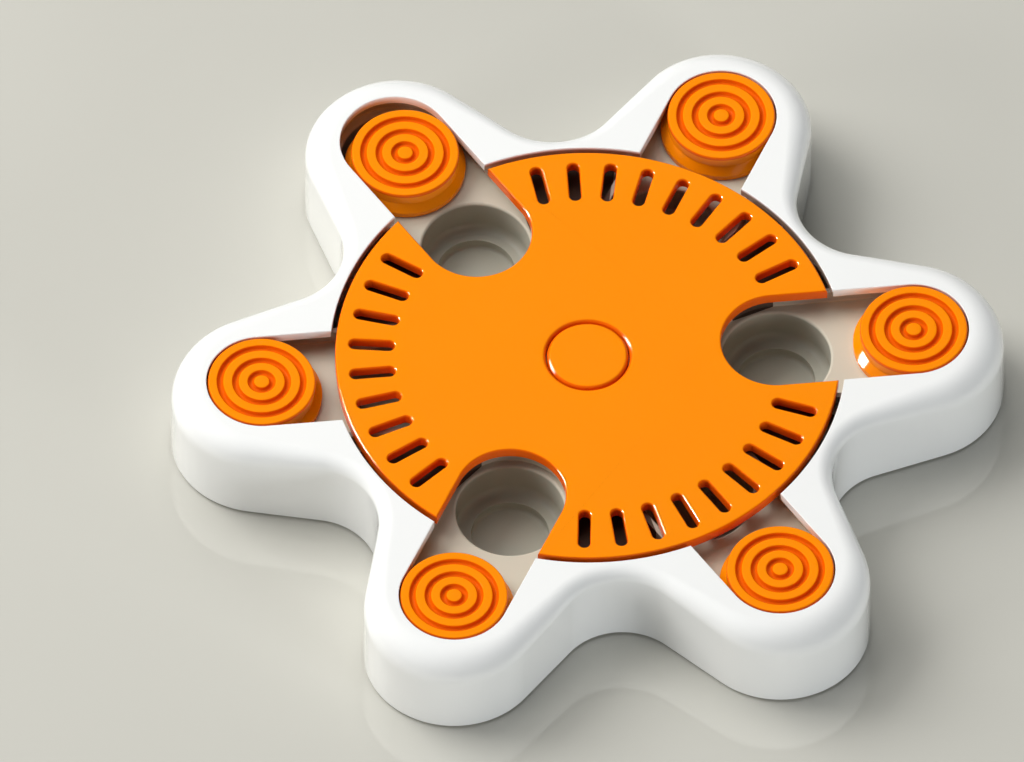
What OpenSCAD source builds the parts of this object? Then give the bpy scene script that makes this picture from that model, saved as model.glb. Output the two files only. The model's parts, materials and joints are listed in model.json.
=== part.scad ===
// Pet puzzle feeder: a six-armed body, a turning disc and one sliding knob in each arm.
// Millimetres. Z is up, and the origin is on the ground under the centre. Arm 1 lies along +X.

/* [Body] */
// Distance from the disc's rim to the middle of each arm's rounded end, where a slider parks
arm_out = 26.7; // [24:0.1:32]
// Width of the body round an arm's end, from the slot's edge to the outer wall
arm_rim = 12.5; // [11.8:0.1:16.3]
// Width of the body in the valley between two arms, from the disc's opening to the outer wall
valley_rim = 5.7; // [4.6:0.1:8.1]
// Length of the straight flanks between an arm's end and a valley
flank_l = 26.25; // [22.9:0.05:33.1]
// Height of the top face above the ground
body_h = 36; // [35:0.1:44]
// Rounding of the top outer edge
edge_r = 8; // [5:0.1:9]
// Thickness of the outer wall
wall = 3; // [2.4:0.1:3.6]
// Gap between the channels' walls and the thick wall behind the rounded edge
trough_gap = 1; // [0.8:0.1:1.8]
// Thickness of the top plate, whose slot edges hold the sliders down
lip_t = 3.6; // [3.2:0.1:4]

/* [Disc] */
// Radius of the disc
disc_r = 90; // [88:0.1:91]
// Thickness of the disc
disc_t = 4.2; // [3.8:0.1:4.6]
// Gap between the disc's rim and the body
disc_gap = 1.9; // [1:0.1:2.4]
// Rounding of the disc's top edge
disc_edge_r = 1; // [0.4:0.1:1.6]
// Width of the slits
slit_w = 4.6; // [3:0.1:6]
// Length of the slits
slit_l = 16.8; // [13.4:0.1:21.4]
// Width of the disc's rim outside the slits
slit_rim = 4.6; // [4:0.1:10]
// Slits in each group
slit_count = 9; // [3:1:9]
// Angle from one slit to the next
slit_step = 9.2; // [7:0.1:9.2]

/* [Sliders] */
// Distance from the disc's rim in to the middle of the inner wells, where a slider ends its travel
inner_in = 22.5; // [20:0.1:24]
// Radius of a knob's neck
knob_r = 19.2; // [18:0.1:19.4]
// Gap between the neck and the edges of its slot
slot_gap = 0.5; // [0.3:0.1:0.8]
// How far the skirt flares out under the neck
flange_out = 2.4; // [2:0.1:2.7]
// Height of the skirt's straight lower part
flange_h = 2.4; // [2:0.1:2.8]
// Gap between the skirt and the channel's walls
channel_gap = 0.6; // [0.4:0.1:0.8]
// Height of the neck under the top face
neck_h = 5; // [4.8:0.1:5.4]
// Thickness of the knob's top
knob_top_t = 3.6; // [3.2:0.1:4]
// Thickness of the knob's wall
skirt_t = 2.2; // [1.8:0.1:2.6]
// Thickness of the slider's bottom
slider_base_t = 2; // [1.6:0.1:2.4]
// Thickness of the collar that the knob is pressed on
spigot_t = 2; // [1.6:0.1:2.4]
// Radius of the knob's first groove
groove_r = 4.15; // [4:0.05:4.4]
// Distance from the middle of the last groove to the knob's rim
groove_land = 4.05; // [3.85:0.05:4.65]
// Grooves on each knob
groove_count = 3; // [1:1:3]
// Half the width of a groove
groove_half_w = 1.05; // [0.8:0.05:1.2]
// Depth of a groove
groove_depth = 1.5; // [1.2:0.1:1.8]
// Rounding of the knob's top edge
knob_edge_r = 0.8; // [0.4:0.1:1.2]
// How far slider 3 stands drawn in from its parked place
drawn_in = 6; // [0:0.1:6]

/* [Wells] */
// Depth of the channel floor under the top face
channel_depth = 10.2; // [9.8:0.1:11]
// Width of the channel's floor beside a well
well_rim = 2.7; // [2.4:0.1:4.2]
// Depth of the well's ledge under the channel floor
ledge_depth = 14; // [12:0.1:14.4]
// Radius of the rounding between the well's wall and its ledge
ledge_round = 3; // [2:0.1:4]
// Width of the ledge round the dish
ledge_w = 5.5; // [4.5:0.1:7.5]
// Depth of the dish under the ledge
dish_depth = 3.8; // [3:0.1:4]
// Rounding of the well's rim and of the dish's floor
well_edge_r = 1; // [0.5:0.1:1.2]
// Wall thickness of the trays
tray_wall = 2; // [1.6:0.1:2.2]
// Thickness of the trays' deck, which lies level with the channel floor under the disc
deck_t = 2.5; // [2:0.1:3]
// Radius at which the decks begin
deck_in_r = 20.5; // [20:0.1:24]
// Angle left free between two trays
tray_gap_a = 0.2; // [0.1:0.1:0.6]

/* [Underside] */
// Thickness of the bottom cover
base_t = 2.5; // [2.3:0.1:3]
// Gap between the bottom cover and the wall around it
base_gap = 0.3; // [0.2:0.1:0.6]
// How far the feet stand out under the body
foot_out = 0.8; // [0.6:0.1:1.4]
// Radius of a foot
foot_r = 8; // [6:0.1:10]
// Depth of a foot's recess
foot_in = 1.4; // [1:0.1:1.5]
// Distance of the case screws along their flank, from the end of the arm's curve
screw_along = 18.1; // [16.6:0.1:19.6]
// Distance of the case screws from the outer wall
screw_in = 6.6; // [6.2:0.1:7]
// Radius of a screw boss
boss_r = 3.2; // [2.8:0.1:3.4]
// Radius of a case screw's shank
screw_r = 1.45; // [1.2:0.05:1.6]
// Length of a case screw under its head
screw_l = 11.7; // [8:0.1:16]
// Radius of a case screw's head
head_r = 3; // [2.6:0.1:3.2]
// Thickness of a case screw's head
head_t = 1.3; // [1:0.1:1.4]

/* [Pivot] */
// Radius of the cap in the middle of the disc
cap_r = 14.6; // [13:0.1:15]
// Thickness of the cap's head
cap_t = 4.6; // [4.4:0.1:5]
// Rounding of the cap's edge
cap_edge_r = 1.2; // [0.5:0.1:1.6]
// Gap between the cap and the disc around it
cap_gap = 0.3; // [0.2:0.1:0.5]
// Radius of the journal that the disc turns on
journal_r = 10; // [8:0.1:11]
// Radius of the bush under the disc
bush_r = 18; // [17.2:0.1:19]
// Thickness of the bush between the cap and the washer
bush_t = 4.25; // [3.5:0.05:5]
// Radius of the post
post_r = 17.5; // [17.2:0.1:18.5]
// Radius of the thrust washer
washer_r = 17; // [14:0.1:17.2]
// Thickness of the thrust washer
washer_t = 1; // [0.6:0.1:1.4]
// Wall thickness of the post
post_wall = 3.5; // [2.5:0.1:4]
// Thickness of the post's top
post_top_t = 4; // [3:0.1:5]
// Radius of the pivot screw's shank
pivot_r = 1.9; // [1.5:0.1:2.4]
// Radius of the pivot screw's head
pivot_head_r = 4; // [3.4:0.1:5]
// Thickness of the pivot screw's head
pivot_head_t = 3; // [2:0.1:3.4]
// Length of the pivot screw in the cap
pivot_grip = 6; // [4:0.1:7]

/* [Fits] */
// Radial clearance of a turning or pressed fit
fit = 0.05; // [0.02:0.01:0.1]
// Clearance between pieces that slide or turn on flat faces
glide = 0.1; // [0.05:0.05:0.2]
// Clearance between the disc and the channels' walls under it
disc_clear = 0.4; // [0.3:0.1:0.6]

/* [Hidden] */
$fn = 96;
arms = 6;
arm_a = 360 / arms;
notches = 3;
notch_a = 360 / notches;
drawn_slider = 3;
far = 400;
eps = 1;
// How far one curve of the outline cuts into the next, so that they cross at a small angle
cross = 0.03;
// How far the rounding's circle stands out of its corner, so that it crosses both faces
lift = 0.05;
// How far a flank's cut runs on beyond its ends
flank_run = 5;

// Plan of the disc, the slots and the wells
hole_r = disc_r + disc_gap;
arm_r = disc_r + arm_out;
inner_r = disc_r - inner_in;
slit_out_r = disc_r - slit_rim;
slit_in_r = slit_out_r - slit_l;
slit_group_a = (slit_count - 1) * slit_step;
slot_half_w = knob_r + slot_gap;
flange_r = knob_r + flange_out;
channel_half_w = flange_r + channel_gap;
trough_half_w = channel_half_w + tray_wall;
well_r = channel_half_w - well_rim;
cup_r = well_r + tray_wall;
dish_r = well_r - ledge_w;
groove_step = (knob_r - groove_land - groove_r) / max(1, groove_count - 1);

// Plan of the body, whose valleys curve so that the flanks get their length
arm_end_r = slot_half_w + arm_rim;
shoulder = arm_end_r - trough_half_w - trough_gap;
valley_at = hole_r + valley_rim;
arm_reach = arm_r * cos(arm_a / 2);
valley_r = (valley_at ^ 2 - 2 * valley_at * arm_reach + arm_r ^ 2 - arm_end_r ^ 2 - flank_l ^ 2)
    / (2 * (arm_reach + arm_end_r - valley_at));
valley_c = valley_at + valley_r;
to_valley = [valley_c * cos(arm_a / 2) - arm_r, valley_c * sin(arm_a / 2)];
flank_a = atan2(to_valley.y, to_valley.x) - acos((arm_end_r + valley_r) / norm(to_valley));

// Heights above the ground
skirt_z = foot_out;
base_top = skirt_z + base_t;
lip_z = body_h - lip_t;
disc_z = body_h - disc_t;
trough_z = disc_z - disc_clear;
floor_z = body_h - channel_depth;
ledge_z = floor_z - ledge_depth;
dish_z = ledge_z - dish_depth;
slider_z = floor_z + glide;
neck_z = body_h - neck_h;
knob_z = body_h - knob_top_t;
cap_z = body_h - cap_t;
bush_z = cap_z - glide - bush_t;
post_z = bush_z - fit - washer_t;
head_z = skirt_z + head_t + fit;

// Turns what is drawn along +X to arm number n
module at_arm(n) {
    rotate([0, 0, (n - 1) * arm_a]) children();
}

// Rectangle from the axis to r, with its upper outer corner rounded
module rim_profile(r, z0, z1, round) {
    translate([0, z0]) square([r, z1 - round - z0]);
    translate([0, z0]) square([r - round, z1 - z0]);
    translate([r - round, z1 - round]) circle(round);
}

// Places what is drawn on each straight flank, with X square to the flank and Y towards the valley
module at_flanks() {
    for (n = [1:arms], side = [0, 1]) at_arm(n) translate([arm_r, 0, 0])
        mirror([0, side, 0]) rotate([0, 0, flank_a]) children();
}

// Places what is drawn on the centre of each valley's curve
module at_valleys() {
    for (n = [1:arms]) at_arm(n + 0.5) translate([valley_c, 0, 0]) children();
}

// The body's six-armed outline, drawn in by inset
module star_plan(inset) {
    end_r = arm_end_r - inset;
    tip = [arm_r + end_r * cos(flank_a), end_r * sin(flank_a)];
    root = tip + flank_l * [-sin(flank_a), cos(flank_a)];
    difference() {
        union() {
            polygon([
                for (n = [1:arms], p = [[root.x, -root.y], [tip.x, -tip.y], tip, root])
                    let (a = (n - 1) * arm_a)
                        [p.x * cos(a) - p.y * sin(a), p.x * sin(a) + p.y * cos(a)]
            ]);
            for (n = [1:arms]) at_arm(n) translate([arm_r, 0]) circle(end_r);
        }
        at_flanks() translate([end_r - cross, -flank_run]) square([flank_run, flank_l + flank_run]);
        at_valleys() circle(valley_r + 2 * cross + inset);
    }
}

module star_block(inset, z0, z1) {
    translate([0, 0, z0]) linear_extrude(z1 - z0) star_plan(inset);
}

// What the rounding of the top edge takes from a wall at r
module edge_waste(r) {
    middle = [r - edge_r + lift, body_h - edge_r + lift];
    difference() {
        translate(middle) square(edge_r + eps);
        translate(middle) circle(edge_r);
    }
}

// Block of the body's outline with its top edge rounded, first on the arms, then on the flanks and valleys
module rounded_star() {
    difference() {
        difference() {
            difference() {
                star_block(0, skirt_z, body_h);
                for (n = [1:arms]) at_arm(n) translate([arm_r, 0, 0]) rotate([0, 0, -flank_a])
                    rotate_extrude(angle = 2 * flank_a) edge_waste(arm_end_r);
            }
            at_flanks() translate([0, flank_l, 0]) rotate([90, 0, 0])
                linear_extrude(flank_l + flank_run) edge_waste(arm_end_r - cross);
        }
        at_valleys() rotate_extrude()
            translate([valley_r + 2 * cross + arm_end_r, 0]) mirror([1, 0]) edge_waste(arm_end_r);
    }
}

// Flat shape of a slot with round ends, from x0 to x1
module obround(x0, x1, half_w) {
    translate([x0, -half_w]) square([x1 - x0, 2 * half_w]);
    translate([x0, 0]) circle(half_w);
    translate([x1, 0]) circle(half_w);
}

module obround_block(x0, x1, half_w, z0, z1) {
    translate([0, 0, z0]) linear_extrude(z1 - z0) obround(x0, x1, half_w);
}

// Places what is drawn at the axis on every case screw
module at_screws() {
    for (n = [1:arms]) at_arm(n) translate([arm_r, 0, 0]) rotate([0, 0, flank_a])
        translate([arm_end_r - screw_in, screw_along, 0]) children();
}

module top_shell() {
    color("white") difference() {
        union() {
            difference() {
                rounded_star();
                star_block(wall, skirt_z - eps, body_h - edge_r);
                star_block(shoulder, skirt_z - eps, lip_z);
            }
            at_screws() translate([0, 0, base_top]) cylinder(r = boss_r, h = lip_z - base_top + eps);
        }
        translate([0, 0, skirt_z]) cylinder(r = hole_r, h = far);
        for (n = [1:arms]) at_arm(n) obround_block(0, arm_r, slot_half_w, skirt_z, body_h + eps);
        at_screws() translate([0, 0, skirt_z])
            cylinder(r = screw_r + fit, h = head_z + screw_l + eps - skirt_z);
    }
}

module base_plate() {
    color("white") difference() {
        union() {
            star_block(wall + base_gap, skirt_z, base_top);
            translate([0, 0, skirt_z]) cylinder(r = post_r, h = post_z - skirt_z);
        }
        translate([0, 0, skirt_z - eps])
            cylinder(r = post_r - post_wall, h = post_z - post_top_t - skirt_z + eps);
        cylinder(r = pivot_r + fit, h = far);
        for (n = [1:arms]) at_arm(n) translate([arm_r, 0, skirt_z - eps])
            cylinder(r = foot_r + fit, h = foot_in + eps);
        at_screws() {
            cylinder(r = screw_r + 2 * fit, h = base_top + eps);
            translate([0, 0, skirt_z - eps]) cylinder(r = head_r + 2 * fit, h = head_z + eps - skirt_z);
        }
    }
}

// Hollow of a well, revolved round its own axis
module well_space() {
    rotate_extrude() {
        translate([0, ledge_z + ledge_round]) square([well_r, floor_z + eps - ledge_z - ledge_round]);
        translate([0, ledge_z]) square([well_r - ledge_round, ledge_round + eps]);
        translate([well_r - ledge_round, ledge_z + ledge_round]) circle(ledge_round);
        translate([0, dish_z + well_edge_r]) square([dish_r, ledge_z + eps - dish_z - well_edge_r]);
        translate([0, dish_z]) square([dish_r - well_edge_r, well_edge_r + eps]);
        translate([dish_r - well_edge_r, dish_z + well_edge_r]) circle(well_edge_r);
        difference() {
            translate([0, floor_z - well_edge_r]) square([well_r + well_edge_r, well_edge_r + eps]);
            translate([well_r + well_edge_r, floor_z - well_edge_r]) circle(well_edge_r);
        }
    }
}

// Outside of a well, down to the ring that stands on the bottom cover
module cup() {
    translate([0, 0, ledge_z - tray_wall]) cylinder(r = cup_r, h = floor_z - ledge_z + tray_wall);
    translate([0, 0, base_top]) cylinder(r = dish_r + tray_wall, h = ledge_z - base_top);
}

module tray(n) {
    half_a = (arm_a - tray_gap_a) / 2;
    color("gainsboro") at_arm(n) difference() {
        union() {
            rotate([0, 0, -half_a]) rotate_extrude(angle = 2 * half_a)
                translate([deck_in_r, floor_z - deck_t]) square([disc_r - deck_in_r, deck_t]);
            obround_block(inner_r, arm_r, trough_half_w, floor_z - tray_wall, trough_z);
            difference() {
                obround_block(inner_r, arm_r, trough_half_w, trough_z - eps, lip_z);
                translate([0, 0, trough_z - 2 * eps]) cylinder(r = hole_r, h = far);
            }
            for (x = [inner_r, arm_r]) translate([x, 0, 0]) cup();
        }
        obround_block(inner_r, arm_r, channel_half_w, floor_z, body_h);
        for (x = [inner_r, arm_r]) translate([x, 0, 0]) {
            well_space();
            translate([0, 0, skirt_z]) cylinder(r = dish_r, h = dish_z - tray_wall - skirt_z);
        }
    }
}

module foot(n) {
    color("dimgray") at_arm(n) translate([arm_r, 0, 0]) cylinder(r = foot_r, h = skirt_z + foot_in);
}

module case_screws() {
    color("silver") at_screws() {
        translate([0, 0, head_z - head_t]) cylinder(r = head_r, h = head_t);
        translate([0, 0, head_z - head_t]) cylinder(r = screw_r, h = head_t + screw_l);
    }
}

module thrust_washer() {
    color("ivory") translate([0, 0, post_z]) difference() {
        cylinder(r = washer_r, h = washer_t);
        translate([0, 0, -eps]) cylinder(r = journal_r + fit, h = washer_t + 2 * eps);
    }
}

module hub_cap() {
    color("darkorange") difference() {
        union() {
            translate([0, 0, post_z]) cylinder(r = journal_r, h = cap_z + eps - post_z);
            rotate_extrude() rim_profile(cap_r, cap_z, body_h, cap_edge_r);
        }
        translate([0, 0, post_z - eps]) cylinder(r = pivot_r + fit, h = pivot_grip + 2 * eps);
    }
}

module pivot_screw() {
    under_top = post_z - post_top_t;
    color("silver") {
        translate([0, 0, under_top - pivot_head_t]) cylinder(r = pivot_head_r, h = pivot_head_t);
        translate([0, 0, under_top - pivot_head_t])
            cylinder(r = pivot_r, h = pivot_head_t + post_top_t + pivot_grip);
    }
}

module disc() {
    color("darkorange") difference() {
        rotate_extrude() rim_profile(disc_r, disc_z, body_h, disc_edge_r);
        cylinder(r = cap_r + cap_gap, h = far);
        for (n = [0:notches - 1]) rotate([0, 0, n * notch_a]) {
            obround_block(inner_r, far, slot_half_w, disc_z - eps, body_h + eps);
            for (s = [0:slit_count - 1]) rotate([0, 0, notch_a / 2 - slit_group_a / 2 + s * slit_step])
                obround_block(slit_in_r + slit_w / 2, slit_out_r - slit_w / 2, slit_w / 2,
                    disc_z - eps, body_h + eps);
        }
    }
}

module disc_bush() {
    color("ivory") difference() {
        translate([0, 0, bush_z]) cylinder(r = bush_r, h = disc_z - bush_z);
        cylinder(r = journal_r + fit, h = far);
        translate([0, 0, cap_z - glide]) cylinder(r = cap_r + cap_gap, h = far);
    }
}

// Places what is drawn at the axis on slider n, as it stands at rest
module at_slider(n) {
    at_arm(n) translate([arm_r - (n == drawn_slider ? drawn_in : 0), 0, 0]) children();
}

module slider_cap(n) {
    color("darkorange") at_slider(n) difference() {
        rotate_extrude() rim_profile(knob_r, neck_z, body_h, knob_edge_r);
        translate([0, 0, neck_z - eps]) cylinder(r = knob_r - skirt_t, h = knob_z - neck_z + eps);
        rotate_extrude() for (g = [0:groove_count - 1]) translate([groove_r + g * groove_step, body_h]) {
            translate([-groove_half_w, groove_half_w - groove_depth])
                square([2 * groove_half_w, groove_depth]);
            translate([0, groove_half_w - groove_depth]) circle(groove_half_w);
        }
    }
}

module slider_base(n) {
    spigot_r = knob_r - skirt_t - fit;
    color("orangered") at_slider(n) difference() {
        union() {
            translate([0, 0, slider_z]) cylinder(r = flange_r, h = flange_h);
            translate([0, 0, slider_z + flange_h])
                cylinder(r1 = flange_r, r2 = knob_r, h = neck_z - slider_z - flange_h);
            translate([0, 0, slider_z]) cylinder(r = spigot_r, h = knob_z - glide - slider_z);
        }
        translate([0, 0, slider_z + slider_base_t]) cylinder(r = spigot_r - spigot_t, h = body_h);
    }
}

top_shell();
base_plate();
for (n = [1:arms]) tray(n);
for (n = [1:arms]) foot(n);
case_screws();
thrust_washer();
hub_cap();
pivot_screw();
disc();
disc_bush();
for (n = [1:arms]) slider_cap(n);
for (n = [1:arms]) slider_base(n);
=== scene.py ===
"""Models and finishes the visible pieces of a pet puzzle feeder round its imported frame."""

import json
import math

import bmesh
import bpy
from bpy.props import FloatProperty, FloatVectorProperty, PointerProperty
from mathutils import Matrix, Vector

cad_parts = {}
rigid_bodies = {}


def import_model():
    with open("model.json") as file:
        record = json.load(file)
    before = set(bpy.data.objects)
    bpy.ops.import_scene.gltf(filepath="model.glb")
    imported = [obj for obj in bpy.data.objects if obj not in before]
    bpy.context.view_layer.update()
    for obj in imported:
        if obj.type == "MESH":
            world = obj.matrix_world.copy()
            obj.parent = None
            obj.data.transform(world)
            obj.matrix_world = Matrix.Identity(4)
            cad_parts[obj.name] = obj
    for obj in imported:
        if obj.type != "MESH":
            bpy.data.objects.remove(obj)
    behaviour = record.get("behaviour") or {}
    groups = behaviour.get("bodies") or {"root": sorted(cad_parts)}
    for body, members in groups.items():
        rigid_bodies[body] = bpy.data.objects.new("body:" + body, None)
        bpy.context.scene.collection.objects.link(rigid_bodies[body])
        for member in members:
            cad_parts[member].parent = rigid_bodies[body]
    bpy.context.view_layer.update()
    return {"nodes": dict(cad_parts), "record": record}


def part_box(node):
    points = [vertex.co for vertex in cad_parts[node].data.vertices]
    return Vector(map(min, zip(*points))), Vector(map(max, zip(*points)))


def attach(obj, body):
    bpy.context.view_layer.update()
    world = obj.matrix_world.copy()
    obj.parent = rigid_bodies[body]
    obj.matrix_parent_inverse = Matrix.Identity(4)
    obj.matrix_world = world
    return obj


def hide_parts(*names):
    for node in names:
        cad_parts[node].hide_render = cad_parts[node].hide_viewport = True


bl_info = {
    "name": "Pet puzzle feeder",
    "version": (1, 0, 0),
    "blender": (4, 5, 0),
    "location": "View3D > Sidebar > Feeder",
    "description": "Models and finishes the visible pieces of a pet puzzle feeder",
    "category": "Object",
}

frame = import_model()

MM = 0.001
ARMS = 6
ARM_ANGLE = math.tau / ARMS
NOTCHES = 3
NOTCH_ANGLE = math.tau / NOTCHES
SLITS = 9
SLIT_ANGLE = math.radians(9.2)
GROOVES = 3
# Steps that the curves of the outline are drawn in, from an arm's tip to the middle of the next valley
TIP_STEPS = 24
FLANK_STEPS = 8
VALLEY_STEPS = 16
# Shares of the wall's height at which the cover's skin has a ring
WALL_RINGS = (0.0, 0.35, 0.7, 0.94)
# Steps of the rounded top edge, and of a small arc in a profile
EDGE_STEPS = 14
ARC_STEPS = 6
# Steps of a full turn of the cap, the disc's rim, the ends of slots and slits, and the small round pieces
TURN_STEPS = 128
RIM_STEPS = 256
SLOT_STEPS = 64
SLIT_STEPS = 24
KNOB_STEPS = 96
FOOT_STEPS = 64
SCREW_STEPS = 48
RECESS_STEPS = 16
# Points nearer to each other than this count as one, in cut pieces and in turned ones
CLOSE = 0.02 * MM
CLOSE_TURNED = 0.002 * MM
# Faces that meet at a larger angle are shaded apart, and their edge is rounded above the second angle
CREASE = math.radians(40)
SHARP = math.radians(50)
# How strongly large faces flatten the shading beside them, out of 100
FLATNESS = 60
NEUTRAL = (1.0, 1.0, 1.0)
COOL = (0.92, 0.96, 1.0)


def length(name, millimetres, description):
    """A length that a user may change, kept in metres."""
    return FloatProperty(name=name, description=description, default=millimetres * MM,
                         min=0.0, precision=5, unit="LENGTH", subtype="DISTANCE")


def linear(level):
    """The light that a colour level from 0 to 255 stands for."""
    share = level / 255
    return share / 12.92 if share <= 0.04045 else ((share + 0.055) / 1.055) ** 2.4


def colour(name, levels, description):
    """A colour that a user may change, given as red, green and blue levels from 0 to 255."""
    return FloatVectorProperty(name=name, description=description, subtype="COLOR", size=3,
                               min=0.0, max=1.0, default=[linear(v) for v in levels])


class FeederSizes(bpy.types.PropertyGroup):
    """Sizes of the modelled pieces"""
    arm_reach: length("Arm reach", 116.7, "Centre to the middle of an arm's round end")
    arm_round: length("Arm round", 32.19, "Radius of an arm's round end")
    valley_reach: length("Valley reach", 97.6, "Centre to the wall between two arms")
    valley_round: length("Valley round", 23.7, "Radius of the hollow curve between two arms")
    edge_at_arms: length("Edge at arms", 11.0, "Rounding of the top edge at the arms' ends")
    edge_at_valleys: length("Edge at valleys", 5.2, "Rounding of the top edge between the arms")
    wall: length("Wall", 3.0, "Thickness of the cover's side wall")
    shoulder: length("Shoulder", 7.0, "Thickness of the cover behind its rounded edge")
    shoulder_drop: length("Shoulder drop", 8.0, "Depth of the thick shoulder under the top face")
    lip: length("Lip", 3.6, "Thickness of the cover's top")
    lip_edge: length("Lip edge", 0.35, "Rounding of the cover's opening and lower edge")
    disc_gap: length("Disc gap", 1.9, "Gap round the disc")
    disc_edge: length("Disc edge", 0.8, "Rounding of the disc's rim and notches")
    slit_edge: length("Slit edge", 0.8, "Rounding along the disc's slits")
    slit_width: length("Slit width", 4.2, "Width of a slit under its rounded edge")
    slit_inner: length("Slit start", 68.9, "Centre to the inner end of a slit")
    slit_outer: length("Slit end", 85.1, "Centre to the outer end of a slit")
    inner_reach: length("Inner reach", 67.5, "Centre to the middle of an inner well")
    knob_round: length("Knob radius", 19.2, "Radius of a knob")
    slot_gap: length("Slot gap", 0.5, "Gap between a knob and its slot")
    knob_edge: length("Knob edge", 0.8, "Rounding of a knob's rim")
    knob_top: length("Knob top", 3.6, "Thickness of a knob's top")
    knob_wall: length("Knob wall", 2.2, "Thickness of a knob's wall")
    groove_reach: length("Groove reach", 3.85, "Radius of a knob's first groove")
    groove_pitch: length("Groove pitch", 5.5, "Distance from one groove to the next")
    groove_round: length("Groove round", 1.0, "Radius of a groove's bottom")
    groove_depth: length("Groove depth", 1.4, "Depth of a groove")
    ridge_edge: length("Ridge edge", 0.6, "Rounding of the ridges beside a groove")
    flange_round: length("Flange radius", 21.6, "Radius of a slider's flange")
    flange_height: length("Flange height", 2.4, "Height of the flange's straight side")
    flange_edge: length("Flange edge", 0.4, "Rounding of the flange")
    cap_round: length("Cap radius", 14.6, "Radius of the cap in the middle of the disc")
    cap_gap: length("Cap gap", 0.3, "Gap round the cap")
    cap_edge: length("Cap edge", 1.6, "Rounding of the cap's rim")
    cap_hole_edge: length("Cap hole edge", 1.6, "Rounding of the disc round the cap")
    screw_along: length("Screw along", 18.1, "Distance of a case screw along its flank")
    screw_in: length("Screw in", 6.6, "Distance of a case screw from the outer wall")
    screw_head: length("Screw head", 3.0, "Radius of a case screw's head")
    screw_shank: length("Screw shank", 1.45, "Radius of a case screw's shank")
    screw_head_height: length("Screw head height", 1.3, "Height of a case screw's head")
    pivot_shank: length("Pivot shank", 1.9, "Radius of the pivot screw's shank")
    pivot_head_height: length("Pivot head height", 3.0, "Height of the pivot screw's head")
    foot_edge: length("Foot edge", 0.6, "Rounding of a foot")
    foot_hollow: length("Foot hollow", 0.4, "Depth of the hollow under a foot")


class FeederColours(bpy.types.PropertyGroup):
    """Colours of the finishes"""
    white: colour("White", (250, 250, 247), "Cover and bottom")
    orange: colour("Orange", (255, 142, 4), "Disc, cap and knobs")
    # Painted shade on the grooves, slits and edges below the orange tops
    deep_orange: colour("Deep orange", (236, 97, 2), "Grooves, slits and edges below the orange tops")
    channel: colour("Channel", (210, 203, 184), "Floors of the channels")
    # Painted shade on the walls of the channels and in the treat wells
    channel_wall: colour("Channel wall", (178, 174, 160), "Walls of the channels")
    well: colour("Well", (184, 182, 167), "Treat wells")
    # Painted shade on the deck under the disc
    deck: colour("Deck", (88, 74, 62), "Deck between the channels, under the disc")
    # Painted shade in the gap round the disc
    gap_dust: colour("Gap dust", (172, 160, 140), "Dust in the gap round the disc")
    bearing: colour("Bearing", (226, 222, 208), "Washer and bush")
    rubber: colour("Rubber", (58, 58, 57), "Feet")
    steel: colour("Steel", (196, 197, 199), "Screws")
    floor: colour("Floor", (206, 204, 194), "Floor under the feeder")


def fill(socket, value):
    """Links a value to a socket, or sets the socket where the value is plain."""
    if isinstance(value, Value):
        socket.id_data.links.new(value.socket, socket)
    else:
        socket.default_value = value


class Value:
    """Wraps a shader socket, so that an expression on values adds its Math nodes."""

    def __init__(self, socket):
        self.socket = socket

    def math(self, operation, first, second):
        """Adds a Math node on two values or numbers."""
        node = self.socket.id_data.nodes.new("ShaderNodeMath")
        node.operation = operation
        fill(node.inputs[0], first)
        fill(node.inputs[1], second)
        return Value(node.outputs[0])

    def __add__(self, other):
        return self.math("ADD", self, other)

    def __radd__(self, other):
        return self.math("ADD", other, self)

    def __sub__(self, other):
        return self.math("SUBTRACT", self, other)

    def __rsub__(self, other):
        return self.math("SUBTRACT", other, self)

    def __mul__(self, other):
        return self.math("MULTIPLY", self, other)

    def __rmul__(self, other):
        return self.math("MULTIPLY", other, self)

    def __pow__(self, other):
        return self.math("POWER", self, other)

    def __rpow__(self, other):
        return self.math("POWER", other, self)

    def __lt__(self, other):
        return self.math("LESS_THAN", self, other)

    def __gt__(self, other):
        return self.math("GREATER_THAN", self, other)


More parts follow.
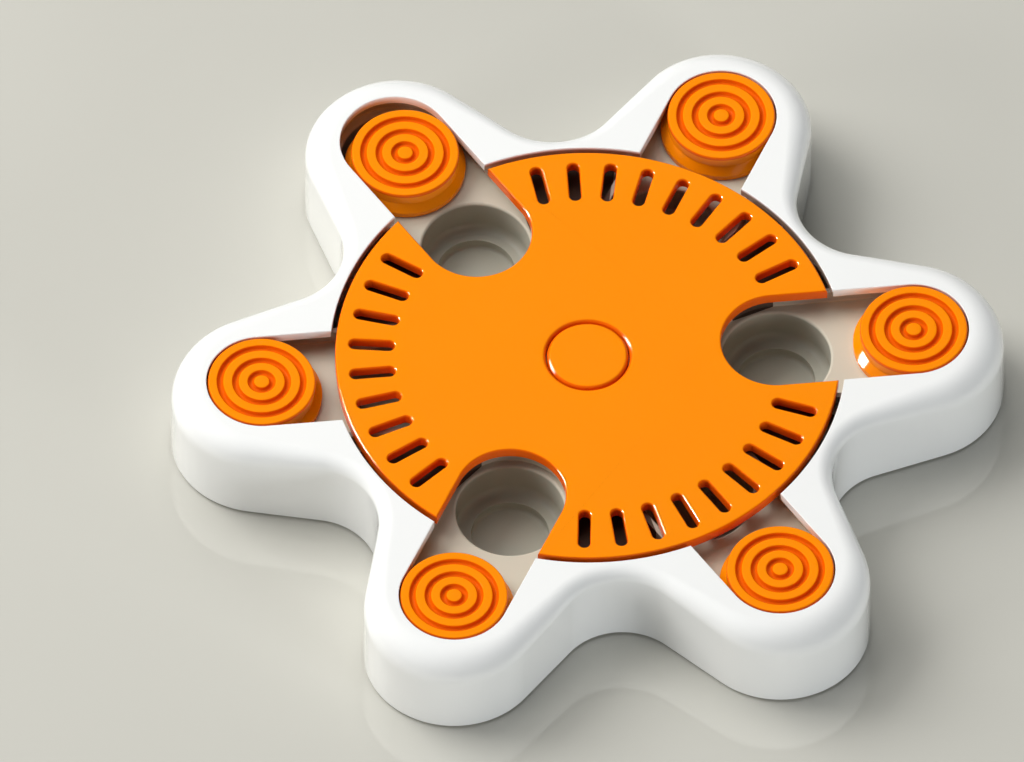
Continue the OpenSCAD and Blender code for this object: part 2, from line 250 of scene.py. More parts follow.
class Finish:
    """A new material with one shader, and one method that adds any node to it."""

    def __init__(self, name):
        material = bpy.data.materials.new(name)
        material.use_nodes = True
        self.material = material
        self.nodes = material.node_tree.nodes
        self.place = self.node("ShaderNodeTexCoord", output="Object")

    def node(self, kind, settings=None, sockets=None, output=0, **named):
        """Adds a node, sets it up, fills its sockets by number and name, and gives one output."""
        node = self.nodes.new(kind)
        for name, value in (settings or {}).items():
            setattr(node, name, value)
        for number, value in (sockets or {}).items():
            fill(node.inputs[number], value)
        for name, value in named.items():
            fill(node.inputs[name.replace("_", " ")], value)
        return Value(node.outputs[output])

    def set(self, **inputs):
        """Fills the shader's sockets by name."""
        shader = self.nodes["Principled BSDF"]
        for name, value in inputs.items():
            fill(shader.inputs[name.replace("_", " ")], value)

    def rise(self, value, start, end):
        """A share that grows from 0 to 1 while a value goes from start to end."""
        return self.node("ShaderNodeMapRange", {"interpolation_type": "SMOOTHSTEP"},
                         {0: value, 1: start, 2: end})

    def noise(self, scale, detail=2.0, rough=0.5):
        """Even noise of about 0 to 1 in the piece's own place."""
        return self.node("ShaderNodeTexNoise", output="Fac", Vector=self.place,
                         Scale=scale, Detail=detail, Roughness=rough)

    def tint(self, share, first, second):
        """One colour, plain or worked out, turning into another by a share."""
        pair = [c if isinstance(c, Value) else (*c, 1.0) for c in (first, second)]
        return self.node("ShaderNodeMix", {"data_type": "RGBA"}, {0: share, 6: pair[0], 7: pair[1]}, 2)

    def axis(self, letter):
        """One coordinate of the piece's own place."""
        return self.node("ShaderNodeSeparateXYZ", output=letter, Vector=self.place)

    def reach(self):
        """Distance from the upright axis in the middle."""
        return (self.axis("X") ** 2.0 + self.axis("Y") ** 2.0) ** 0.5

    def bump(self, height, distance, strength=1.0):
        """Surface relief from a height."""
        return self.node("ShaderNodeBump", output="Normal", Height=height,
                         Distance=distance, Strength=strength)


def shade(levels, factor):
    """A colour made darker or lighter by a factor."""
    return [min(1.0, v * factor) for v in levels]


def gloss_white(finish, colours):
    """Glossy white plastic with a faint mould ripple, handling marks, and painted shade in the disc's
    gap.
    """
    cloud = finish.noise(18.0, 3.0)
    ripple = finish.noise(240.0, 2.0)
    grain = finish.noise(1600.0, 2.0)
    marks = finish.noise(75.0, 6.0, 0.65) ** 3.0
    plain = finish.tint(cloud, colours.white, shade(colours.white, 0.965))
    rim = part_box("disc")[1].y + 1.1 * bpy.context.scene.feeder_sizes.disc_gap
    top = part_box("top_shell")[1].z
    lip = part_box("slider_cap_1")[0].z
    height = finish.axis("Z")
    # Painted shade on the cover's wall in the gap round the disc, from just under the top downwards
    gap_shade_start, gap_shade_full = 0.5 * MM, 1.5 * MM
    below = finish.rise(height, top - gap_shade_start, top - gap_shade_full)
    gap = (finish.reach() < rim) * (height > lip) * below
    finish.set(
        Base_Color=finish.tint(gap, plain, colours.gap_dust),
        Roughness=0.09 + 0.04 * ripple + 0.2 * marks,
        Normal=finish.bump(0.75 * ripple + 0.25 * grain, 0.01 * MM),
        IOR=1.5,
        Coat_Weight=1.0,
        Coat_Roughness=0.03,
        Coat_IOR=1.65,
    )


def satin_orange(finish, colours):
    """Orange moulded plastic with painted shade below the tops, with fine mould grain and slight flow
    clouds.
    """
    rim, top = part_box("disc")[1].yz
    height = finish.axis("Z")
    # The painted shade ends below the grooves of the knobs, and goes all through the disc
    groove_depth, disc_depth = 1.6 * MM, 4.6 * MM
    lowest = top - groove_depth - (disc_depth - groove_depth) * (finish.reach() < rim)
    # The painted shade starts just under the tops and is full a little lower
    orange_shade_start, orange_shade_full = 0.03 * MM, 0.3 * MM
    below = (height > lowest) * finish.rise(height, top - orange_shade_start, top - orange_shade_full)
    cloud = finish.noise(26.0, 4.0)
    grain = finish.noise(1900.0, 3.0, 0.6)
    ripple = finish.noise(160.0, 2.0)
    plain = finish.tint(cloud, colours.orange, shade(colours.orange, 0.95))
    finish.set(
        Base_Color=finish.tint(below, plain, colours.deep_orange),
        Roughness=0.05 + 0.04 * ripple + 0.03 * grain,
        Normal=finish.bump(0.5 * grain + 0.5 * ripple, 0.006 * MM),
        Specular_IOR_Level=0.25,
    )


def warm_grey(finish, colours):
    """Warm grey tray plastic with painted shade in the wells, on the channel walls and on the deck, with
    a fine grain and flow clouds.
    """
    cloud = finish.noise(34.0, 4.0)
    grain = finish.noise(1400.0, 3.0, 0.65)
    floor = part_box("slider_base_1")[0].z
    height = finish.axis("Z")
    # Painted shade: the wells below the channel floor and the channel walls above it are darker than the
    # floor
    above = finish.rise(height, floor - 1.2 * MM, floor - 0.2 * MM)
    wall = finish.rise(height, floor + 0.3 * MM, floor + 1.5 * MM)
    well = finish.tint(cloud, colours.well, shade(colours.well, 0.86))
    channel = finish.tint(cloud, colours.channel, shade(colours.channel, 0.92))
    tray = finish.tint(above, well, finish.tint(wall, channel, colours.channel_wall))
    # Painted shade on the deck under the disc, in the sectors between the arms, where the cosine of six
    # times the angle is low
    angle = finish.node("ShaderNodeMath", {"operation": "ARCTAN2"},
                        {0: finish.axis("Y"), 1: finish.axis("X")})
    deck = finish.node("ShaderNodeMath", {"operation": "COSINE"}, {0: ARMS * angle}) < -0.3
    finish.set(
        Base_Color=finish.tint(deck, tray, colours.deck),
        Roughness=0.16 + 0.12 * grain,
        Normal=finish.bump(grain, 0.02 * MM),
        IOR=1.5,
    )


def bearing_plastic(finish, colours):
    """Waxy pale plastic of the washer and the bush, with turned rings."""
    cloud = finish.noise(60.0, 3.0)
    rings = finish.node("ShaderNodeTexWave", {"wave_type": "RINGS", "rings_direction": "Z"},
                        output="Fac", Vector=finish.place, Scale=420.0, Distortion=0.4)
    finish.set(
        Base_Color=finish.tint(cloud, colours.bearing, shade(colours.bearing, 0.92)),
        Roughness=0.38 + 0.12 * rings,
        Normal=finish.bump(rings, 0.02 * MM),
    )


def foot_rubber(finish, colours):
    """Dark rubber with a fine matte grain and dusty patches."""
    dust = finish.noise(140.0, 5.0, 0.6)
    grain = finish.noise(2600.0, 2.0)
    finish.set(
        Base_Color=finish.tint(dust, colours.rubber, shade(colours.rubber, 1.5)),
        Roughness=0.72 + 0.2 * grain,
        Normal=finish.bump(grain, 0.06 * MM),
    )


def screw_steel(finish, colours):
    """Zinc-plated steel with a fine grain and cloudy plating."""
    cloud = finish.noise(420.0, 4.0)
    grain = finish.noise(2800.0, 2.0)
    finish.set(
        Base_Color=finish.tint(cloud, colours.steel, shade(colours.steel, 0.8)),
        Metallic=1.0,
        Roughness=0.26 + 0.14 * grain,
        Normal=finish.bump(grain, 0.02 * MM),
    )


FINISHES = {
    "white_plastic": gloss_white,
    "orange_plastic": satin_orange,
    "grey_plastic": warm_grey,
    "bearing_plastic": bearing_plastic,
    "rubber": foot_rubber,
    "steel": screw_steel,
}


def finish_for(slot):
    """The material of a slot of the record, made when it is first asked for."""
    name = "feeder_" + slot
    if name not in bpy.data.materials:
        FINISHES[slot](Finish(name), bpy.context.scene.feeder_colours)
    return bpy.data.materials[name]


def dress(piece, slot):
    """Gives a piece the material of one slot all over."""
    piece.data.materials.clear()
    piece.data.materials.append(finish_for(slot))


def polar(distance, angle):
    """The flat point at a distance and an angle from the origin."""
    return Vector((distance * math.cos(angle), distance * math.sin(angle)))


def alone(piece):
    """Makes a piece the only one that is selected, and active."""
    bpy.ops.object.select_all(action="DESELECT")
    piece.select_set(True)
    bpy.context.view_layer.objects.active = piece


def new_piece(name):
    """Names the primitive that was added last."""
    piece = bpy.context.view_layer.objects.active
    piece.name = name
    piece.data.name = name
    return piece


def apply_place(piece):
    """Puts a piece's place, turn and size into its mesh."""
    alone(piece)
    bpy.ops.object.transform_apply(location=True, rotation=True, scale=True)


def select_edges(piece, wanted):
    """In edit mode, selects just the edges that a test wants."""
    bpy.ops.mesh.select_mode(type="EDGE")
    bpy.ops.mesh.select_all(action="DESELECT")
    mesh = bmesh.from_edit_mesh(piece.data)
    for edge in mesh.edges:
        if wanted(edge):
            edge.select_set(True)
    bmesh.update_edit_mesh(piece.data)


def round_edges(piece, wanted, radius, steps=3):
    """Rounds the edges of a piece that a test wants."""
    alone(piece)
    bpy.ops.object.mode_set(mode="EDIT")
    bpy.ops.mesh.select_mode(type="VERT")
    bpy.ops.mesh.select_all(action="SELECT")
    bpy.ops.mesh.remove_doubles(threshold=CLOSE)
    select_edges(piece, wanted)
    bpy.ops.mesh.bevel(offset=radius, offset_type="OFFSET", segments=steps, affect="EDGES",
                       clamp_overlap=False)
    bpy.ops.object.mode_set(mode="OBJECT")


def cut(piece, cutter, operation="DIFFERENCE"):
    """Cuts a piece by another, or joins them, and removes the other."""
    alone(piece)
    modifier = piece.modifiers.new("cut", "BOOLEAN")
    modifier.operation = operation
    modifier.solver = "EXACT"
    modifier.object = cutter
    bpy.ops.object.modifier_apply(modifier=modifier.name)
    bpy.data.objects.remove(cutter)


def smooth(piece):
    """Shades a piece smooth, with its large faces kept flat."""
    alone(piece)
    bpy.ops.object.shade_smooth_by_angle(angle=CREASE)
    modifier = piece.modifiers.new("flat_faces", "WEIGHTED_NORMAL")
    modifier.keep_sharp = True
    modifier.weight = FLATNESS
    bpy.ops.object.modifier_apply(modifier=modifier.name)


def is_sharp(edge):
    """Whether an edge's two faces meet at a clear angle."""
    return len(edge.link_faces) == 2 and edge.calc_face_angle(0.0) > SHARP


def at_height(edge, height):
    """Whether both ends of an edge lie at a height."""
    return all(abs(v.co.z - height) < CLOSE for v in edge.verts)


def nearest(edge):
    """How near an edge comes to the upright axis in the middle."""
    return min(v.co.xy.length for v in edge.verts)


def farthest(edge):
    """How far an edge reaches from the upright axis in the middle."""
    return max(v.co.xy.length for v in edge.verts)


def hand_over(piece, slot, node, body):
    """Finishes a piece, and puts it in the place of a CAD node, on the body that carries it."""
    smooth(piece)
    dress(piece, slot)
    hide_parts(node)
    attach(piece, body)


def flank_angle(sizes):
    """The angle that an arm's straight flank faces, and the flank's length."""
    centre = polar(sizes.valley_reach + sizes.valley_round, ARM_ANGLE / 2)
    both = sizes.arm_round + sizes.valley_round
    away = centre - Vector((sizes.arm_reach, 0))
    angle = math.atan2(away.y, away.x) - math.acos(both / away.length)
    return angle, math.sqrt(away.length_squared - both ** 2)


def half_outline(sizes):
    """The outline from an arm's tip to the middle of the next valley: points and their outward sides."""
    centre = polar(sizes.valley_reach + sizes.valley_round, ARM_ANGLE / 2)
    tip = Vector((sizes.arm_reach, 0))
    flank, run = flank_angle(sizes)
    side = polar(1, flank)
    along = side.orthogonal()
    points = []
    for i in range(TIP_STEPS):
        outward = polar(1, flank * i / TIP_STEPS)
        points.append((tip + sizes.arm_round * outward, outward))
    for i in range(FLANK_STEPS):
        points.append((tip + sizes.arm_round * side + along * run * i / FLANK_STEPS, side))
    for i in range(VALLEY_STEPS + 1):
        outward = polar(1, flank + (ARM_ANGLE / 2 - flank) * i / VALLEY_STEPS)
        points.append((centre - sizes.valley_round * outward, outward))
    return points


def outline(sizes):
    """The whole outline: points, outward sides, and the share of the way from an arm to a valley."""
    half = half_outline(sizes)
    way = [0.0]
    for before, after in zip(half, half[1:]):
        way.append(way[-1] + (after[0] - before[0]).length)
    last = len(half) - 1
    points = []
    for arm in range(ARMS):
        turn = Matrix.Rotation(arm * ARM_ANGLE, 2)
        for i in range(1 - last, last + 1):
            flip = Vector((1, -1 if i < 0 else 1))
            point, outward = half[abs(i)]
            points.append((turn @ (point * flip), turn @ (outward * flip), way[abs(i)] / way[-1]))
    return points


def star_solid(name, sizes, rings):
    """A closed solid through rings of the outline, each drawn in by some distance at some height."""
    points = outline(sizes)
    bpy.ops.object.select_all(action="DESELECT")
    bpy.ops.mesh.primitive_circle_add(vertices=len(points), radius=sizes.arm_reach)
    piece = new_piece(name)
    bpy.ops.object.mode_set(mode="EDIT")
    mesh = bmesh.from_edit_mesh(piece.data)
    order = mesh.verts.layers.int.new("order")
    for i, vertex in enumerate(mesh.verts):
        vertex[order] = i
    bmesh.update_edit_mesh(piece.data)
    for number, ring in enumerate(rings):
        if number:
            bpy.ops.mesh.extrude_region_move(TRANSFORM_OT_translate={"value": (0, 0, MM)})
        mesh = bmesh.from_edit_mesh(piece.data)
        order = mesh.verts.layers.int["order"]
        for vertex in mesh.verts:
            if vertex.select:
                point, outward, share = points[vertex[order]]
                inset, height = ring(share)
                flat = point - inset * outward
                vertex.co = (flat.x, flat.y, height)
        bmesh.update_edit_mesh(piece.data)
    bpy.ops.mesh.edge_face_add()
    bpy.ops.mesh.select_all(action="DESELECT")
    bpy.ops.mesh.select_mode(type="EDGE")
    bpy.ops.mesh.select_non_manifold()
    bpy.ops.mesh.edge_face_add()
    bpy.ops.mesh.select_all(action="SELECT")
    bpy.ops.mesh.normals_make_consistent(inside=False)
    bpy.ops.object.mode_set(mode="OBJECT")
    return piece


def rod(radius, low, high, steps=TURN_STEPS):
    """An upright cylinder round the middle, used as a start or a cutter."""
    bpy.ops.object.select_all(action="DESELECT")
    bpy.ops.mesh.primitive_cylinder_add(vertices=steps, radius=radius, depth=high - low,
                                        location=(0, 0, (low + high) / 2))
    piece = new_piece("rod")
    apply_place(piece)
    return piece


def obround(start, end, half_width, low, high, angle, steps=SLOT_STEPS):
    """An upright bar with round ends that lies along an angle, used as a cutter."""
    bpy.ops.object.select_all(action="DESELECT")
    half_step = math.pi / steps
    bpy.ops.mesh.primitive_cylinder_add(vertices=steps, radius=half_width / math.cos(half_step),
                                        depth=high - low, location=(end, 0, (low + high) / 2),
                                        rotation=(0, 0, half_step))
    piece = new_piece("obround")
    apply_place(piece)
    bpy.ops.object.mode_set(mode="EDIT")
    bpy.ops.mesh.select_mode(type="VERT")
    bpy.ops.mesh.select_all(action="DESELECT")
    mesh = bmesh.from_edit_mesh(piece.data)
    for vertex in mesh.verts:
        vertex.select_set(vertex.co.x < end)
    bmesh.update_edit_mesh(piece.data)
    bpy.ops.transform.translate(value=(start - end, 0, 0))
    bpy.ops.object.mode_set(mode="OBJECT")
    piece.rotation_euler.z = angle
    apply_place(piece)
    return piece


def joined(pieces):
    """Several pieces that stand apart, made one."""
    alone(pieces[0])
    for piece in pieces:
        piece.select_set(True)
    bpy.ops.object.join()
    return pieces[0]


def arc(middle, radius, start, end, steps=ARC_STEPS):
    """Points of an arc in a profile, with its angles in degrees."""
    turns = [math.radians(start + (end - start) * i / steps) for i in range(steps + 1)]
    return [(middle[0] + radius * math.cos(t), middle[1] + radius * math.sin(t)) for t in turns]


def turned(name, profile, steps=TURN_STEPS):
    """A piece turned from a profile of distances and heights, round the upright axis in the middle."""
    bpy.ops.object.select_all(action="DESELECT")
    bpy.ops.mesh.primitive_plane_add(size=MM)
    piece = new_piece(name)
    bpy.ops.object.mode_set(mode="EDIT")
    bpy.ops.mesh.select_mode(type="VERT")
    bpy.ops.mesh.select_all(action="SELECT")
    bpy.ops.mesh.merge(type="CENTER")
    bpy.ops.transform.translate(value=(profile[0][0], 0, profile[0][1]))
    for before, after in zip(profile, profile[1:]):
        step = (after[0] - before[0], 0, after[1] - before[1])
        bpy.ops.mesh.extrude_region_move(TRANSFORM_OT_translate={"value": step})
    bpy.ops.mesh.select_all(action="SELECT")
    bpy.ops.mesh.spin(steps=steps, angle=math.tau, center=(0, 0, 0), axis=(0, 0, 1))
    bpy.ops.mesh.select_all(action="SELECT")
    bpy.ops.mesh.remove_doubles(threshold=CLOSE_TURNED)
    bpy.ops.mesh.normals_make_consistent(inside=False)
    bpy.ops.object.mode_set(mode="OBJECT")
    return piece


def copies(piece, places):
    """A piece that stands in the middle and its copies, moved to their places."""
    pieces = [piece]
    for _ in places[1:]:
        alone(piece)
        bpy.ops.object.duplicate(linked=False)
        pieces.append(bpy.context.view_layer.objects.active)
    for copy, place in zip(pieces, places):
        copy.location = (*place, 0)
        apply_place(copy)
    return pieces


def one_per_arm(piece, name, slot, node, body):
    """Copies a piece to the CAD nodes of all arms, which it replaces."""
    places = []
    for arm in range(1, ARMS + 1):
        low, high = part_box(f"{node}_{arm}")
        places.append(((low + high) / 2).xy)
    for arm, copy in enumerate(copies(piece, places), 1):
        copy.name = copy.data.name = f"{name}_{arm}"
        hand_over(copy, slot, f"{node}_{arm}", body.format(arm))


def slot_half_width(sizes):
    """Half the width of the cover's slots and of the disc's notches."""
    return sizes.knob_round + sizes.slot_gap


class FEEDER_OT_cover(bpy.types.Operator):
    """Models the star-shaped cover with its rounded edge, its round opening and its slots"""
    bl_idname = "feeder.cover"
    bl_label = "Cover"

    def execute(self, context):
        sizes = context.scene.feeder_sizes
        low, high = (corner.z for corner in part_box("top_shell"))
        piece = star_solid("cover", sizes, self.skin_rings(sizes, low, high))
        for inset, drop in ((sizes.wall, sizes.shoulder_drop), (sizes.shoulder, sizes.lip)):
            cut(piece, star_solid("space", sizes, self.space_rings(inset, low, high - drop)))
        cut(piece, self.opening(sizes, low, high))
        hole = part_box("disc")[1].y + 2.5 * sizes.disc_gap
        round_edges(piece, lambda e: is_sharp(e) and at_height(e, high), sizes.lip_edge)
        round_edges(piece, lambda e: is_sharp(e) and at_height(e, low) and nearest(e) > hole,
                    sizes.lip_edge)
        hand_over(piece, "white_plastic", "top_shell", "body")
        return {"FINISHED"}

    @staticmethod
    def skin_rings(sizes, low, high):
        """Rings of the outer skin: the wall, then the edge, rounded more at arms than at valleys."""
        def edge_radius(share):
            at_arm = (1 + math.cos(math.pi * share)) / 2
            return sizes.edge_at_valleys + (sizes.edge_at_arms - sizes.edge_at_valleys) * at_arm

        def wall_ring(rise):
            return lambda share: (0.0, low + rise * (high - edge_radius(share) - low))

        def edge_ring(angle):
            def ring(share):
                radius = edge_radius(share)
                return radius * (1 - math.cos(angle)), high - radius * (1 - math.sin(angle))
            return ring

        rings = [wall_ring(rise) for rise in WALL_RINGS]
        return rings + [edge_ring(math.pi / 2 * i / EDGE_STEPS) for i in range(EDGE_STEPS + 1)]

    @staticmethod
    def space_rings(inset, low, top):
        """Rings of a hollow with straight walls that is open below."""
        return [lambda share, z=z: (inset, z) for z in (low - MM, top)]

    @staticmethod
    def opening(sizes, low, high):
        """The space of the disc and of all slots, as one cutter."""
        space = rod(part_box("disc")[1].y + sizes.disc_gap, low - MM, high + MM, RIM_STEPS)
        for arm in range(ARMS):
            bar = obround(0.3 * sizes.arm_reach, sizes.arm_reach, slot_half_width(sizes),
                          low, high + 2 * MM, arm * ARM_ANGLE)
            cut(space, bar, "UNION")
        return space


class FEEDER_OT_disc(bpy.types.Operator):
    """Models the turning disc with its notches, slits and rounded rim"""
    bl_idname = "feeder.disc"
    bl_label = "Disc"

    def execute(self, context):
        sizes = context.scene.feeder_sizes
        low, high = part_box("disc")
        radius = high.y
        piece = rod(radius, low.z, high.z, RIM_STEPS)
        piece.name = piece.data.name = "turning_disc"
        under, over = low.z - MM, high.z + MM
        hole = rod(sizes.cap_round + sizes.cap_gap, under, over)
        half = slot_half_width(sizes)
        notches = [obround(sizes.inner_reach, 2 * radius, half, under, over, n * NOTCH_ANGLE)
                   for n in range(NOTCHES)]
        cut(piece, joined([hole] + notches))
        near = sizes.cap_round + 2 * sizes.cap_gap
        round_edges(piece, lambda e: is_sharp(e) and at_height(e, high.z) and farthest(e) < near,
                    sizes.cap_hole_edge, 5)
        round_edges(piece, lambda e: is_sharp(e) and at_height(e, high.z), sizes.disc_edge, 4)
        cut(piece, self.slits(sizes, under, over))
        round_edges(piece, lambda e: is_sharp(e) and at_height(e, high.z), sizes.slit_edge)
        hand_over(piece, "orange_plastic", "disc", "disc")
        return {"FINISHED"}

    @staticmethod
    def slits(sizes, under, over):
        """All the slits as one cutter."""
        half = sizes.slit_width / 2
        bars = []
        for group in range(NOTCHES):
            for i in range(SLITS):
                angle = (group + 0.5) * NOTCH_ANGLE + (i - (SLITS - 1) / 2) * SLIT_ANGLE
                bars.append(obround(sizes.slit_inner + half, sizes.slit_outer - half, half,
                                    under, over, angle, SLIT_STEPS))
        return joined(bars)


class FEEDER_OT_cap(bpy.types.Operator):
    """Models the cap that holds the disc down in the middle"""
    bl_idname = "feeder.cap"
    bl_label = "Cap"

    def execute(self, context):
        sizes = context.scene.feeder_sizes
        low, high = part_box("hub_cap")
        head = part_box("disc_bush")[1].z
        # The journal runs through the washer, whose hole is a little over half as wide as the washer
        journal = 0.58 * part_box("thrust_washer")[1].x
        radius, edge = sizes.cap_round, sizes.cap_edge
        profile = [(0, low.z), (journal, low.z), (journal, head), (radius, head)]
        profile += arc((radius - edge, high.z - edge), edge, 0, 90)
        profile += [(0.8 * radius, high.z), (0, high.z)]
        hand_over(turned("middle_cap", profile), "orange_plastic", "hub_cap", "body")
        return {"FINISHED"}


class FEEDER_OT_knobs(bpy.types.Operator):
    """Models the knobs with their ring relief and the flanged bases under them"""
    bl_idname = "feeder.knobs"
    bl_label = "Knobs"

    def execute(self, context):
        sizes = context.scene.feeder_sizes
        seat, top = (corner.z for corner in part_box("slider_cap_1"))
        knob = turned("knob", self.knob_profile(sizes, seat, top), KNOB_STEPS)
        one_per_arm(knob, "knob", "orange_plastic", "slider_cap", "slider_{}")
        low, high = (corner.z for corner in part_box("slider_base_1"))
        base = turned("knob_base", self.base_profile(sizes, low, high, seat), KNOB_STEPS)
        one_per_arm(base, "knob_base", "orange_plastic", "slider_base", "slider_{}")
        return {"FINISHED"}

    @staticmethod
    def knob_profile(sizes, low, high):
        """Half section of a knob, from the hollow under it round to the middle of its top."""
        radius = sizes.knob_round
        inside = radius - sizes.knob_wall
        under = high - sizes.knob_top
        profile = [(0, under), (inside, under), (inside, low), (radius, low)]
        profile += arc((radius - sizes.knob_edge, high - sizes.knob_edge), sizes.knob_edge, 0, 90)
        ridge, bottom = sizes.ridge_edge, sizes.groove_round
        slope = math.acos(1 - sizes.groove_depth / (ridge + bottom))
        shoulder = (ridge + bottom) * math.sin(slope)
        turn = math.degrees(slope)
        for groove in reversed(range(GROOVES)):
            reach = sizes.groove_reach + groove * sizes.groove_pitch
            profile += arc((reach + shoulder, high - ridge), ridge, 90, 90 + turn)
            middle = (reach, high - sizes.groove_depth + bottom)
            profile += arc(middle, bottom, turn - 90, -90 - turn, 2 * ARC_STEPS)[1:-1]
            profile += arc((reach - shoulder, high - ridge), ridge, 90 - turn, 90)
        return profile + [(0, high)]

    @staticmethod
    def base_profile(sizes, low, high, seat):
        """Half section of a flanged base, from the middle of its bottom round to its hollow."""
        edge = sizes.flange_edge
        radius = sizes.flange_round
        fit, wall = 0.05 * MM, 2 * MM
        collar = sizes.knob_round - sizes.knob_wall - fit
        profile = [(0, low)] + arc((radius - edge, low + edge), edge, -90, 0)
        profile += [(radius, low + sizes.flange_height), (sizes.knob_round, seat), (collar, seat)]
        profile += [(collar, high), (collar - wall, high)]
        return profile + [(collar - wall, low + wall), (0, low + wall)]


class FEEDER_OT_feet(bpy.types.Operator):
    """Models the rubber feet with their rounded edge and hollow middle"""
    bl_idname = "feeder.feet"
    bl_label = "Feet"

    def execute(self, context):
        sizes = context.scene.feeder_sizes
        low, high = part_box("foot_1")
        radius = (high.x - low.x) / 2
        foot = turned("rubber_foot", self.profile(sizes, radius, low.z, high.z), FOOT_STEPS)
        one_per_arm(foot, "rubber_foot", "rubber", "foot", "body")
        return {"FINISHED"}

    @staticmethod
    def profile(sizes, radius, low, high):
        """Half section of a foot, from its hollow round to the middle of its top."""
        edge, hollow = sizes.foot_edge, sizes.foot_hollow
        dish = 0.55 * radius
        profile = [(0, low + hollow), (dish - hollow, low + hollow), (dish, low)]
        profile += arc((radius - edge, low + edge), edge, -90, 0)
        return profile + [(radius, high), (0, high)]


class FEEDER_OT_screws(bpy.types.Operator):
    """Models the case screws and the pivot screw with their crossed recesses"""
    bl_idname = "feeder.screws"
    bl_label = "Screws"

    def execute(self, context):
        sizes = context.scene.feeder_sizes
        low, high = (corner.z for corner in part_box("case_screws"))
        screw = self.screw("case_screw", sizes.screw_head, sizes.screw_shank, low,
                           low + sizes.screw_head_height, high)
        hand_over(joined(copies(screw, self.places(sizes))), "steel", "case_screws", "body")
        low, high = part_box("pivot_screw")
        pivot = self.screw("centre_screw", high.x, sizes.pivot_shank, low.z,
                           low.z + sizes.pivot_head_height, high.z)
        hand_over(pivot, "steel", "pivot_screw", "body")
        return {"FINISHED"}

    @staticmethod
    def places(sizes):
        """The place of each case screw, beside one flank of every arm."""
        flank, _ = flank_angle(sizes)
        side = polar(1, flank)
        first = Vector((sizes.arm_reach, 0)) + (sizes.arm_round - sizes.screw_in) * side
        first += sizes.screw_along * side.orthogonal()
        return [Matrix.Rotation(arm * ARM_ANGLE, 2) @ first for arm in range(ARMS)]

    @staticmethod
    def screw(name, head, shank, low, seat, tip):
        """A screw on the middle axis: a rounded head with a crossed recess, and a shank with threads."""
        edge = 0.3 * (seat - low)
        profile = [(0, low)] + arc((head - edge, low + edge), edge, -90, 0) + [(head, seat)]
        pitch = 0.7 * shank
        core = 0.82 * shank
        for turn in range(int((tip - seat - shank) / pitch)):
            foot = seat + turn * pitch
            profile += [(core, foot + 0.25 * pitch), (shank, foot + 0.6 * pitch)]
            profile += [(core, foot + 0.95 * pitch)]
        profile += [(0.8 * shank, tip - 0.5 * shank), (0.25 * shank, tip), (0, tip)]
        piece = turned(name, profile, SCREW_STEPS)
        reach, width = 0.56 * head, 0.14 * head
        depth = 0.6 * (seat - low)
        for angle in (0, math.pi / 2):
            cut(piece, obround(-reach, reach, width, low - depth, low + depth, angle, RECESS_STEPS))
        return piece


class FEEDER_OT_fixed(bpy.types.Operator):
    """Finishes the CAD nodes, of which the trays, the bottom and the bearing stay in sight"""
    bl_idname = "feeder.fixed"
    bl_label = "Trays and underside"

    def execute(self, context):
        slots = {row["node"]: row["material_slot"] for row in frame["record"]["subparts"]}
        for name, node in frame["nodes"].items():
            dress(node, slots[name])
        return {"FINISHED"}


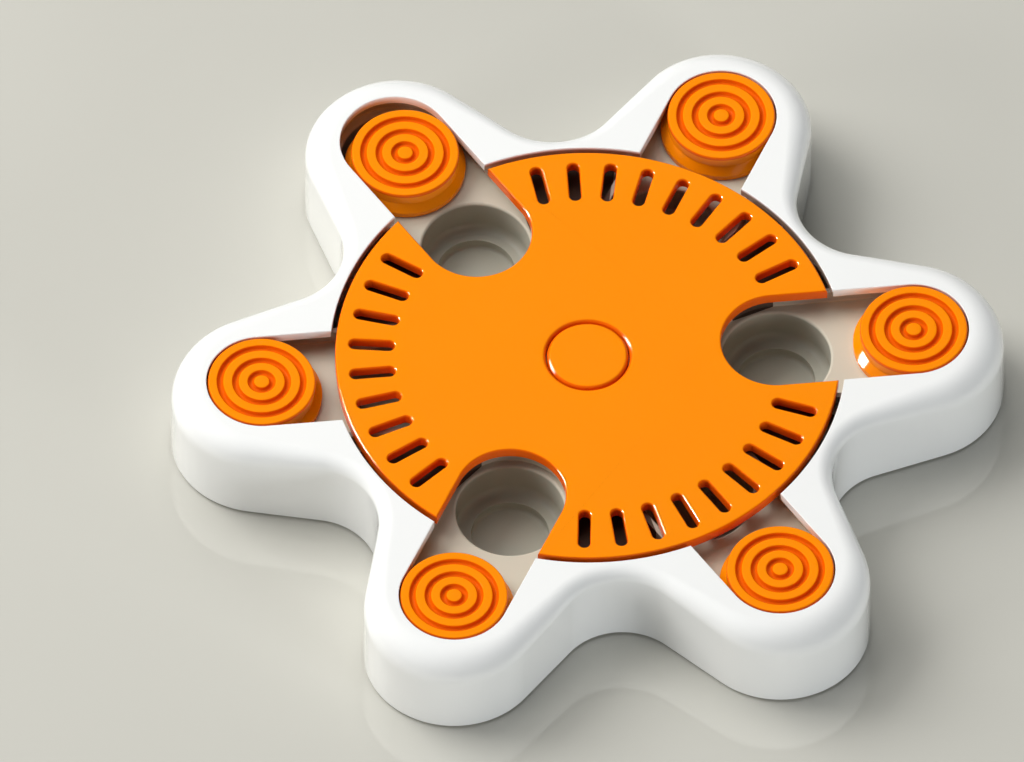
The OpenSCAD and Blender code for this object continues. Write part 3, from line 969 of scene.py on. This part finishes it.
class FEEDER_OT_stage(bpy.types.Operator):
    """Sets the floor, the light and the camera"""
    bl_idname = "feeder.stage"
    bl_label = "Stage"

    # The view of the photograph: a parallel view, with the disc's middle and its scale in pixels
    azimuth = math.radians(-6.351)
    elevation = math.radians(53.407)
    roll = math.radians(0.501)
    image = (1024, 762)
    pixels_per_metre = 2808.8
    disc_pixel = (587.74, 354.90)
    distance = 1.5
    # Lamps, all at one distance: azimuth, elevation, side, brightness and tint
    lamp_distance = 3.0
    softboxes = {
        "left_softbox": (148, 41, 2.0, 5.6, NEUTRAL),
        "left_fill": (200, 14, 1.2, 6.5, NEUTRAL),
        "back_fill": (120, 58, 3.0, 2.1, NEUTRAL),
        "front_fill": (-50, 10, 0.9, 16.0, COOL),
    }
    windows = {
        "high_window": (152, 36, 0.9, 120.0, NEUTRAL),
        "low_window": (168, 11, 0.9, 120.0, NEUTRAL),
    }
    # Pieces that mirror the windows, by the start of their names
    glossy_pieces = ("turning_disc", "middle_cap", "knob_base")
    room_tint = (0.94, 0.97, 1.0, 1.0)
    room_light = 0.08

    def execute(self, context):
        self.floor(context.scene.feeder_colours)
        self.light(context.scene)
        self.camera(context.scene)
        context.scene.view_settings.view_transform = "Standard"
        return {"FINISHED"}

    @staticmethod
    def floor(colours):
        """A wide pale floor with a slight cloud, which mirrors the feeder faintly."""
        bpy.ops.object.select_all(action="DESELECT")
        bpy.ops.mesh.primitive_plane_add(size=8.0)
        floor = new_piece("floor")
        finish = Finish("pale_floor")
        cloud = finish.noise(3.0, 3.0)
        finish.set(
            Base_Color=finish.tint(cloud, colours.floor, shade(colours.floor, 0.985)),
            Roughness=0.05,
            IOR=2.0,
        )
        floor.data.materials.append(finish.material)

    def light(self, scene):
        """A dim room, softboxes that light without showing, and windows that show only as glints."""
        world = bpy.data.worlds.new("soft_room")
        world.use_nodes = True
        scene.world = world
        back = world.node_tree.nodes["Background"]
        back.inputs["Color"].default_value = self.room_tint
        back.inputs["Strength"].default_value = self.room_light
        for name, values in self.softboxes.items():
            self.lamp(name, *values).visible_glossy = False
        glossy = bpy.data.collections.new("glossy_pieces")
        for piece in scene.objects:
            if piece.name.startswith(self.glossy_pieces):
                glossy.objects.link(piece)
        for name, values in self.windows.items():
            window = self.lamp(name, *values)
            window.visible_diffuse = False
            window.light_linking.receiver_collection = glossy

    def lamp(self, name, azimuth, elevation, side, brightness, tint):
        """A square lamp that faces the feeder, from a direction in degrees."""
        flat = polar(math.cos(math.radians(elevation)), math.radians(azimuth))
        place = self.lamp_distance * Vector((*flat, math.sin(math.radians(elevation))))
        bpy.ops.object.light_add(type="AREA", location=place)
        lamp = bpy.context.view_layer.objects.active
        lamp.name = name
        lamp.data.shape = "SQUARE"
        lamp.data.size = side
        lamp.data.energy = brightness * math.pi * side ** 2
        lamp.data.color = tint
        lamp.rotation_euler = (-place).to_track_quat("-Z", "Y").to_euler()
        return lamp

    def camera(self, scene):
        """A parallel camera that sees the disc's middle at its pixel."""
        level = Vector((math.cos(self.azimuth), math.sin(self.azimuth), 0))
        back = math.cos(self.elevation) * Vector((level.y, -level.x, 0))
        back.z = math.sin(self.elevation)
        right = math.cos(self.roll) * level + math.sin(self.roll) * back.cross(level)
        up = back.cross(right)
        scale = 1 / self.pixels_per_metre
        aim = Vector((0, 0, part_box("disc")[1].z))
        aim += right * (self.image[0] / 2 - self.disc_pixel[0]) * scale
        aim += up * (self.disc_pixel[1] - self.image[1] / 2) * scale
        bpy.ops.object.camera_add(location=aim + back * self.distance)
        camera = bpy.context.view_layer.objects.active
        camera.rotation_euler = Matrix((right, up, back)).transposed().to_euler()
        camera.data.type = "ORTHO"
        camera.data.ortho_scale = self.image[0] * scale
        camera.data.clip_start = 0.05
        camera.data.clip_end = 20.0
        scene.camera = camera


class FEEDER_PT_panel(bpy.types.Panel):
    """Lists the feeder's pieces in the sidebar"""
    bl_label = "Puzzle feeder"
    bl_idname = "FEEDER_PT_panel"
    bl_space_type = "VIEW_3D"
    bl_region_type = "UI"
    bl_category = "Feeder"

    def draw(self, context):
        """Shows a button for each operator, then the sizes and colours."""
        for operator in OPERATORS:
            self.layout.operator(operator.bl_idname)
        for group in (context.scene.feeder_sizes, context.scene.feeder_colours):
            for name in group.bl_rna.properties.keys():
                if name not in ("rna_type", "name"):
                    self.layout.prop(group, name)


OPERATORS = (FEEDER_OT_fixed, FEEDER_OT_cover, FEEDER_OT_disc, FEEDER_OT_cap, FEEDER_OT_knobs,
             FEEDER_OT_feet, FEEDER_OT_screws, FEEDER_OT_stage)
CLASSES = (FeederSizes, FeederColours) + OPERATORS + (FEEDER_PT_panel,)


def register():
    """Adds the classes and the scene's sizes and colours."""
    for cls in CLASSES:
        bpy.utils.register_class(cls)
    bpy.types.Scene.feeder_sizes = PointerProperty(type=FeederSizes)
    bpy.types.Scene.feeder_colours = PointerProperty(type=FeederColours)


def unregister():
    """Takes away what register adds."""
    del bpy.types.Scene.feeder_colours
    del bpy.types.Scene.feeder_sizes
    for cls in reversed(CLASSES):
        bpy.utils.unregister_class(cls)


def main():
    """Makes all pieces and the stage."""
    register()
    bpy.ops.feeder.fixed()
    bpy.ops.feeder.cover()
    bpy.ops.feeder.disc()
    bpy.ops.feeder.cap()
    bpy.ops.feeder.knobs()
    bpy.ops.feeder.feet()
    bpy.ops.feeder.screws()
    bpy.ops.feeder.stage()


if __name__ == "__main__":
    main()
